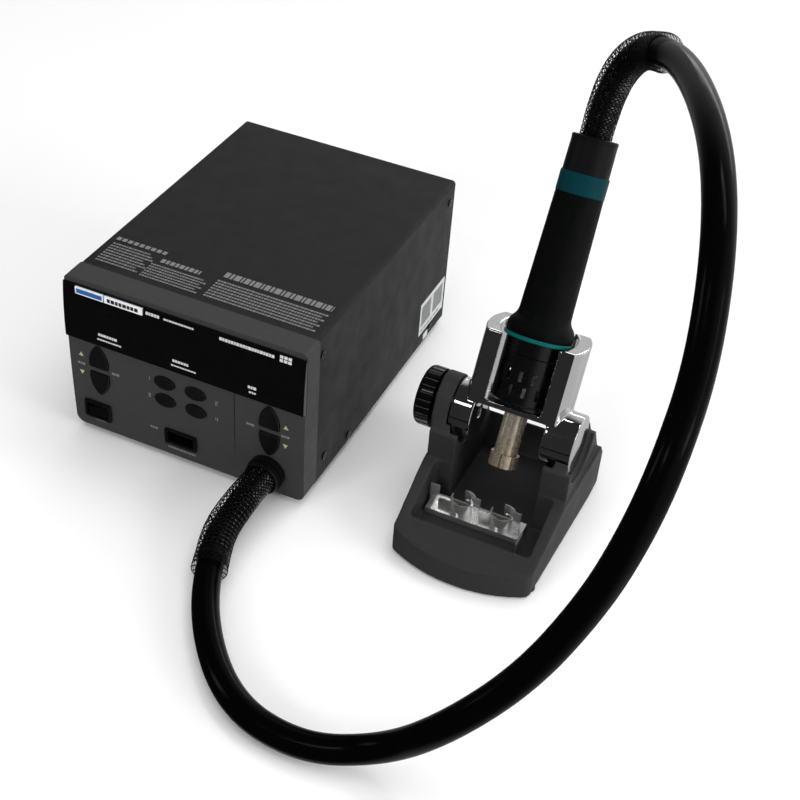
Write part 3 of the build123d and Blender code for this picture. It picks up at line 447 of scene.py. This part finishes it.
def rack_steel():
    """Bright zinc plate with cloudy patches."""
    look = Look("rack_steel", (0.95, 0.95, 0.94), metallic=0.86, specular=0.6)
    look.rough(0.10, 0.24, 240, 5).tint((0.46, 0.46, 0.45), 110, 0.7, 5)
    return look.grain(700, 0.06, 0.0002).material


def nozzle_steel():
    """Warm nickel, heat tinted brown and straw towards its mouth."""
    look = Look("nozzle_steel", (0.50, 0.44, 0.35), metallic=0.75)
    height = look.node("ShaderNodeSeparateXYZ", {"Vector": look.place}).outputs["Z"]
    warm = look.spread(height, 0.85, 0.0, 0.045, 0.072)
    straw = look.mix(warm, (0.74, 0.68, 0.56), (0.60, 0.48, 0.32))
    streaks = look.spread(look.noise(420, 4, (1, 1, 0.12)), 0.0, 0.6)
    look.tree.links.new(look.mix(streaks, straw, (0.34, 0.28, 0.20)), look.shader.inputs["Base Color"])
    look.rough(0.18, 0.34, 240)
    return look.grain(800, 0.08, 0.0002, 2.0, (1, 1, 0.1)).material


def rubber(name, color, rough=(0.5, 0.7), grain=0.25, specular=0.3):
    """Soft rubber with a fine skin."""
    look = Look(name, color, specular=specular)
    look.rough(*rough, 120).tint([c * 1.4 + 0.002 for c in color], 260, 0.5)
    return look.grain(2200, grain, 0.0002).grain(500, grain * 0.3, 0.0003).material


def hose_rubber():
    """Smooth glossy silicone with long soft undulations and dust."""
    look = Look("hose_rubber", (0.0006, 0.0006, 0.0007), specular=0.06)
    look.rough(0.14, 0.25, 90, 5).tint((0.0018, 0.0018, 0.0019), 700, 0.5, 6)
    return look.grain(120, 0.05, 0.0006).grain(1800, 0.05, 0.0001).material


def laminated():
    """Stacked transformer sheets."""
    look = Look("iron", (0.10, 0.10, 0.105), metallic=0.7)
    look.rough(0.45, 0.65, 150).tint((0.16, 0.11, 0.07), 60, 0.5)
    return look.bump(look.wave(300, "Y"), 0.5, 0.0004).material


def circuit():
    """Green board with fine traces."""
    look = Look("circuit", (0.01, 0.10, 0.035), specular=0.5, coat=0.3)
    traces = look.spread(look.wave(60, "X", 6.0), 0.0, 1.0, 0.42, 0.5)
    greens = look.mix(traces, (0.01, 0.09, 0.03), (0.03, 0.17, 0.06))
    look.tree.links.new(greens, look.shader.inputs["Base Color"])
    return look.rough(0.25, 0.4, 200).bump(traces, 0.3, 0.0001).material


def badge_print():
    """Blank name field: a blue tile with a pale rim beside a pale tile."""
    look = Look("badge_print", (0.8, 0.82, 0.84), specular=0.4, coat=0.4)
    parts = look.node("ShaderNodeSeparateXYZ", {"Vector": look.place}).outputs
    rim = 0.0008
    share = None
    for output, low, high in (("X", -0.1648 + rim, -0.1434 - rim), ("Z", 0.1200 + rim, 0.1252 - rim)):
        for value, kind in ((low, "GREATER_THAN"), (high, "LESS_THAN")):
            test = look.node("ShaderNodeMath", {0: parts[output], 1: value}, operation=kind).outputs[0]
            share = test if share is None else look.node("ShaderNodeMath", {0: share, 1: test},
                                                         operation="MULTIPLY").outputs[0]
    grime = look.mix(look.spread(look.noise(400, 4), 0, 0.3), (0.80, 0.82, 0.84), (0.55, 0.58, 0.62))
    look.tree.links.new(look.mix(share, grime, (0.012, 0.10, 0.32)), look.shader.inputs["Base Color"])
    return look.rough(0.25, 0.4, 200).material


def paper(name, color):
    """Printed label stock, slightly soiled."""
    look = Look(name, color, specular=0.3)
    look.rough(0.35, 0.5, 150).tint([c * 0.75 for c in color], 180, 0.5, 5)
    return look.grain(1200, 0.05, 0.0001).material


LOOKS = {
    "case_paint": powder_coat("case_paint", (0.0125, 0.0126, 0.0128)),
    "panel_plastic": moulded("panel_plastic", (0.037, 0.0373, 0.038), specular=0.14),
    "gloss_black": polished("gloss_black", (0.0012, 0.0012, 0.0013), 0.2),
    "badge_print": badge_print(),
    "key_plastic": moulded("key_plastic", (0.0035, 0.0035, 0.0037), (0.26, 0.38), 0.08, 0.4),
    "black_plastic": moulded("black_plastic", (0.0022, 0.0022, 0.0024), (0.25, 0.4), 0.12, 0.3),
    "stand_paint": powder_coat("stand_paint", (0.024, 0.0242, 0.0240)),
    "plated": chrome(),
    "rack_steel": rack_steel(),
    "steel": brushed("steel", (0.68, 0.68, 0.69), (0.1, 1, 1), (0.1, 0.22)),
    "nozzle_steel": nozzle_steel(),
    "foot_rubber": rubber("foot_rubber", (0.012, 0.012, 0.012)),
    "hose_rubber": hose_rubber(),
    "boot_mesh": rubber("boot_mesh", (0.0010, 0.0010, 0.0011), (0.42, 0.55), 0.1, 0.12),
    "spring_wire": brushed("spring_wire", (0.24, 0.24, 0.245), (1, 1, 1), (0.14, 0.26)),
    "grip_rubber": rubber("grip_rubber", (0.0009, 0.0011, 0.0011), (0.5, 0.66), 0.18, 0.12),
    "barrel_black": moulded("barrel_black", (0.0016, 0.0016, 0.0018), (0.22, 0.34), 0.06, 0.4),
    "teal": moulded("teal", (0.0, 0.080, 0.071), (0.3, 0.42), 0.05, 0.2),
    "teal_dark": moulded("teal_dark", (0.0, 0.026, 0.034), (0.42, 0.55), 0.1, 0.12),
    "tail_grey": moulded("tail_grey", (0.0034, 0.0036, 0.0041), (0.36, 0.48), 0.12, 0.15),
    "circuit": circuit(),
    "ceramic": moulded("ceramic", (0.72, 0.68, 0.60), (0.5, 0.7), 0.2),
    "iron": laminated(),
    "contact": brushed("contact", (0.62, 0.52, 0.30), (1, 0.2, 1)),
    "label_black": paper("label_black", (0.0045, 0.0045, 0.005)),
    "label_pale": paper("label_pale", (0.52, 0.55, 0.55)),
    "print_grey": paper("print_grey", (0.19, 0.19, 0.19)),
    "print_white": paper("print_white", (0.62, 0.62, 0.60)),
    "print_lime": paper("print_lime", (0.38, 0.42, 0.24)),
}


def dress(piece, look):
    """Give a piece one of the looks."""
    piece.data.materials.clear()
    piece.data.materials.append(LOOKS[look])


for part in frame["record"]["subparts"]:
    own = {"nozzle_rack": "rack_steel"}.get(part["node"], part["material_slot"])
    dress(bpy.data.objects[part["node"]], own)
for look, pieces in HOSE_PIECES.items():
    for piece in pieces:
        dress(piece, look)


# ---------------------------------------------------------------- cast parts with soft edges
def soften(node, voxel, rounds):
    """Stand-in for a cast node: the same shape with its edges and inner corners rounded."""
    source = bpy.data.objects[node]
    piece = bpy.data.objects.new(node + "_cast", source.data.copy())
    bpy.context.collection.objects.link(piece)
    remesh = piece.modifiers.new("remesh", "REMESH")
    remesh.mode = "VOXEL"
    remesh.voxel_size = voxel
    remesh.use_smooth_shade = True
    smooth = piece.modifiers.new("smooth", "SMOOTH")
    smooth.factor = 0.5
    smooth.iterations = rounds
    bpy.context.view_layer.update()
    shape = bpy.data.meshes.new_from_object(piece.evaluated_get(bpy.context.evaluated_depsgraph_get()))
    piece.modifiers.clear()
    piece.data = shape
    shape.polygons.foreach_set("use_smooth", [True] * len(shape.polygons))
    slot, body = next((part["material_slot"], body) for part in frame["record"]["subparts"]
                      for body, nodes in frame["record"]["behaviour"]["bodies"].items()
                      if part["node"] == node and node in nodes)
    dress(piece, slot)
    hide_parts(node)
    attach(piece, body)
    return piece


soften("cradle", 0.0006, 7)
soften("stand_base", 0.0008, 2)


# ---------------------------------------------------------------- prints and labels
CAST_FROM = 0.03         # how far outside the face the search starts


class Surface:
    """Finds the outer face of a CAD node along a direction, to lay thin prints on it."""

    def __init__(self, node, outward, lift=0.00006, thick=0.00010):
        mesh = bpy.data.objects[node].data
        self.tree = BVHTree.FromPolygons([v.co for v in mesh.vertices], [p.vertices for p in mesh.polygons],
                                         epsilon=1e-6)
        self.outward = Vector(outward)
        self.lift, self.thick = lift, thick

    def drop(self, point):
        """The print's underside, lift below the surface, and its face, thick above it."""
        start = point + self.outward * CAST_FROM
        hit = self.tree.ray_cast(start, -self.outward)[0]
        return hit - self.outward * self.lift, hit + self.outward * self.thick


def lay(name, surface, outlines, look):
    """Thin flat marks that follow a surface; each outline is a list of points near it."""
    verts, faces = [], []
    for outline in outlines:
        first, count = len(verts), len(outline)
        pairs = [surface.drop(Vector(p)) for p in outline]
        verts += [low for low, _ in pairs] + [high for _, high in pairs]
        faces.append(tuple(first + count + k for k in range(count)))
        faces.append(tuple(first + k for k in reversed(range(count))))
        faces += [(first + k, first + (k + 1) % count, first + count + (k + 1) % count, first + count + k)
                  for k in range(count)]
    piece = make_object(name, verts, faces, smooth=False)
    dress(piece, look)
    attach(piece, "root")
    return piece


def on_front(shape):
    """Front panel outline, from (x, z) in mm."""
    return [(x * MM, -0.125, z * MM) for x, z in shape]


def bar(x0, x1, z0, z1):
    """A rectangle's outline."""
    return [(x0, z0), (x1, z0), (x1, z1), (x0, z1)]


def dashes(x0, x1, z0, z1, lengths=(3, 2, 4, 2.5), gap=0.8):
    """A row of short dashes, where the real panel carries small print."""
    out, x, i = [], x0, 0
    while x < x1 - 0.5:
        end = min(x + lengths[i % len(lengths)], x1)
        out.append(bar(x, end, z0, z1))
        x, i = end + gap, i + 1
    return out


def numeral(digit, x, z, w=1.9, h=3.4, t=0.5):
    """A plain stroke numeral from 1 to 4, its lower left corner at (x, z)."""
    middle = z + h / 2
    top = bar(x, x + w, z + h - t, z + h)
    mid = bar(x, x + w, middle - t / 2, middle + t / 2)
    low = bar(x, x + w, z, z + t)
    right_up, right_low = bar(x + w - t, x + w, middle, z + h), bar(x + w - t, x + w, z, middle)
    left_up, left_low = bar(x, x + t, middle, z + h), bar(x, x + t, z, middle)
    return {1: [right_up, right_low], 2: [top, right_up, mid, left_low, low],
            3: [top, right_up, mid, right_low, low], 4: [left_up, mid, right_up, right_low]}[digit]


def panel_prints():
    """Arrow marks, preset numerals and plain dashes on the front."""
    panel = Surface("bezel", (0, -1, 0))
    strip = Surface("display_window", (0, -1, 0))
    arrows = []
    for x, z, way in ((-165.8, 66.9, 1), (-166.2, 54.2, -1), (-8.7, 65.0, 1), (-9.0, 51.8, -1)):
        arrows.append([(x - 1.9, z), (x, z + 3.3 * way), (x + 1.9, z)][::way])
    lay("arrow_marks", panel, [on_front(a) for a in arrows], "print_lime")
    marks = []
    for digit, x, z in ((1, -113.5, 66.3), (3, -113.5, 51.5), (2, -61.5, 64.6), (4, -61.5, 50.6)):
        marks += numeral(digit, x, z)
    for row in ((-169.0, -162.6, 59.4, 61.2), (-141.8, -136.0, 59.4, 61.4), (-38.0, -31.6, 57.9, 59.8),
                (-11.8, -5.6, 57.7, 59.4), (-113.5, -107.4, 24.0, 25.8), (-158.6, -151.0, 12.0, 13.2),
                (-100.0, -78.4, 10.8, 12.4)):
        marks += dashes(*row, lengths=(1.6, 1.2, 1.9), gap=0.5)
    lay("panel_marks", panel, [on_front(m) for m in marks], "print_grey")
    lines = []
    for row in ((-111.5, -101.0, 121.4, 123.6), (-98.0, -76.0, 121.6, 122.9), (-57.0, -17.5, 121.0, 123.2),
                (-148.5, -134.0, 91.8, 93.8), (-149.5, -131.0, 88.2, 89.4), (-91.5, -79.0, 91.6, 93.6),
                (-92.6, -73.6, 88.0, 89.2), (-35.4, -29.0, 91.4, 93.6), (-34.6, -29.6, 87.8, 89.2)):
        lines += dashes(*row, lengths=(1.7, 1.3, 2.1, 1.5), gap=0.45)
    for x in range(3):
        for z in range(2):
            lines.append(bar(-13.6 + 3.0 * x, -11.2 + 3.0 * x, 120.2 + 2.7 * z, 122.3 + 2.7 * z))
    lay("strip_marks", strip, [on_front(m) for m in lines], "print_white")
    badge = Surface("badge_plate", (0, -1, 0))
    lines = dashes(-140.2, -116.4, 121.2, 124.0, lengths=(2.2, 2.6, 2.0), gap=0.7)
    lay("badge_marks", badge, [on_front(m) for m in lines], "label_black")


def on_top(shape):
    """Top cover outline, from (x, y) in mm."""
    return [(x * MM, y * MM, 0.14) for x, y in shape]


def top_label():
    """Black instruction label across the top, its text replaced with rows of plain dashes."""
    cover = Surface("case_cover", (0, 0, 1), 0.00005, 0.00018)
    lay("top_label", cover, [on_top(bar(-171.8, 3.2, -91.6, -53.6))], "label_black")
    over = Surface("case_cover", (0, 0, 1), -0.00017, 0.00026)
    rows = dashes(-168, -129, -60.2, -56.6, lengths=(3.2,), gap=1.3)
    rows += dashes(-128, -98, -69.0, -64.8, lengths=(3.0, 2.2), gap=1.0)
    rows += dashes(-83, -3, -63.2, -57.2, lengths=(3.4, 2.0, 4.2, 1.4), gap=1.0)
    for k in range(8):
        y = -64.0 - 3.1 * k
        rows += dashes(-167, -138 + 3 * (k % 3), y - 1.5, y, lengths=(1.6, 1.1, 2.2, 0.9), gap=0.6)
    for k in range(6):
        y = -72.6 - 2.9 * k
        rows += dashes(-132, -92 + 3 * (k % 2), y - 1.4, y, lengths=(1.2, 2.0, 1.5, 1.0), gap=0.55)
    for k in range(7):
        y = -67.6 - 3.1 * k
        rows += dashes(-84, -2 - 4 * (k % 2), y - 1.6, y, lengths=(1.7, 1.2, 2.3, 1.0, 1.5), gap=0.6)
    lay("top_label_rows", over, [on_top(r) for r in rows], "print_grey")


def side_stickers():
    """Pale stickers low on the right side, their codes replaced with blank panels."""
    side = Surface("case_cover", (1, 0, 0), 0.00005, 0.00012)
    over = Surface("case_cover", (1, 0, 0), -0.00011, 0.0002)

    def on_side(shape):
        """Right side outline, from (y, z) in mm."""
        return [(0.02, y * MM, z * MM) for y, z in shape]

    lay("side_sticker", side, [on_side(bar(81, 127, 17.5, 47)), on_side(bar(91, 99.4, 8.0, 13.6))],
        "label_pale")
    panels = [bar(84, 101.5, 25, 43), bar(106, 123.5, 25, 43)]
    panels += [bar(84 + 6 * k, 88.5 + 6 * k, 19.8, 21.4) for k in range(6)]
    lay("side_sticker_panels", over, [on_side(p) for p in panels], "print_grey")


panel_prints()
top_label()
side_stickers()


# ---------------------------------------------------------------- stage
def soft_light(name, place, aim, size, power, height=None, mirrored=True):
    """A rectangular soft box; it shows in reflections unless mirrored is False."""
    data = bpy.data.lights.new(name, "AREA")
    data.shape = "RECTANGLE"
    data.size, data.size_y = size, height or size
    data.energy = power
    lamp = bpy.data.objects.new(name, data)
    lamp.location = place
    lamp.visible_glossy = mirrored
    lamp.rotation_euler = (Vector(aim) - Vector(place)).to_track_quat("-Z", "Y").to_euler()
    bpy.context.collection.objects.link(lamp)


def make_floor():
    """Pale floor that shows in no reflection."""
    reach, under = 7.0, -0.0002
    corners = [(x * reach, y * reach, under) for x, y in ((-1, -1), (1, -1), (1, 1), (-1, 1))]
    floor = make_object("floor", corners, [(0, 1, 2, 3)])
    look = Look("floor_white", (0.93, 0.93, 0.93), specular=0.0)
    look.rough(0.8, 0.9, 3).tint((0.90, 0.90, 0.90), 2, 0.5)
    floor.data.materials.append(look.material)
    floor.visible_glossy = False


# per axis: direction where the glow starts and is full, and its strength there
ROOM_GLOWS = (("X", 0.25, 0.80, 0.03, 0.60), ("Y", 0.45, 0.85, 0.0, 0.60), ("Z", -0.72, -0.95, 0.0, 0.55))
BACKDROP = 0.95


def make_room():
    """A dark room that glows towards its right, its back and the table; the camera sees a pale backdrop."""
    world = bpy.data.worlds.new("room")
    world.use_nodes = True
    tree = world.node_tree
    back = tree.nodes["Background"].inputs
    towards = tree.nodes.new("ShaderNodeSeparateXYZ")
    tree.links.new(tree.nodes.new("ShaderNodeTexCoord").outputs["Generated"], towards.inputs[0])
    glows = []
    for axis, start, end, low, high in ROOM_GLOWS:
        glow = tree.nodes.new("ShaderNodeMapRange")
        glow.interpolation_type = "SMOOTHSTEP"
        for name, value in (("From Min", start), ("From Max", end), ("To Min", low), ("To Max", high)):
            glow.inputs[name].default_value = value
        tree.links.new(towards.outputs[axis], glow.inputs["Value"])
        glows.append(glow.outputs[0])
    total = tree.nodes.new("ShaderNodeVectorMath")
    total.operation = "DOT_PRODUCT"
    total.inputs[1].default_value = (1, 1, 1)
    joined = tree.nodes.new("ShaderNodeCombineXYZ")
    for index, part_glow in enumerate(glows):
        tree.links.new(part_glow, joined.inputs[index])
    tree.links.new(joined.outputs[0], total.inputs[0])
    seen = tree.nodes.new("ShaderNodeMix")
    tree.links.new(tree.nodes.new("ShaderNodeLightPath").outputs["Is Camera Ray"], seen.inputs[0])
    tree.links.new(total.outputs["Value"], seen.inputs[2])
    seen.inputs[3].default_value = BACKDROP
    tree.links.new(seen.outputs[0], back["Strength"])
    back["Color"].default_value = (1, 1, 1, 1)
    bpy.context.scene.world = world


def make_lights():
    """Wide fills that no surface mirrors, and small boxes that make the highlights."""
    target = (0.05, -0.05, 0.08)
    soft_light("overhead", (0.1, 0.1, 2.6), target, 3.2, 53, mirrored=False)
    soft_light("front_fill", (-0.4, -2.6, 1.1), target, 1.8, 36, 1.2, mirrored=False)
    soft_light("right_fill", (2.6, -0.2, 0.9), target, 1.6, 40, 1.2, mirrored=False)
    soft_light("right_box", (2.2, -0.3, 1.1), target, 0.7, 4.5, 0.5)
    soft_light("left_box", (-2.3, -0.9, 1.0), target, 0.4, 3, 0.9)
    soft_light("back_box", (0.4, 2.6, 0.9), target, 2.2, 8, 0.3)
    soft_light("front_box", (-0.62, -1.6, 1.85), target, 0.42, 2.2, 0.3)
    soft_light("top_strip", (0.5, 0.7, 2.2), target, 1.2, 5, 0.25)


make_floor()
make_room()
make_lights()
bpy.context.scene.view_settings.view_transform = "Standard"
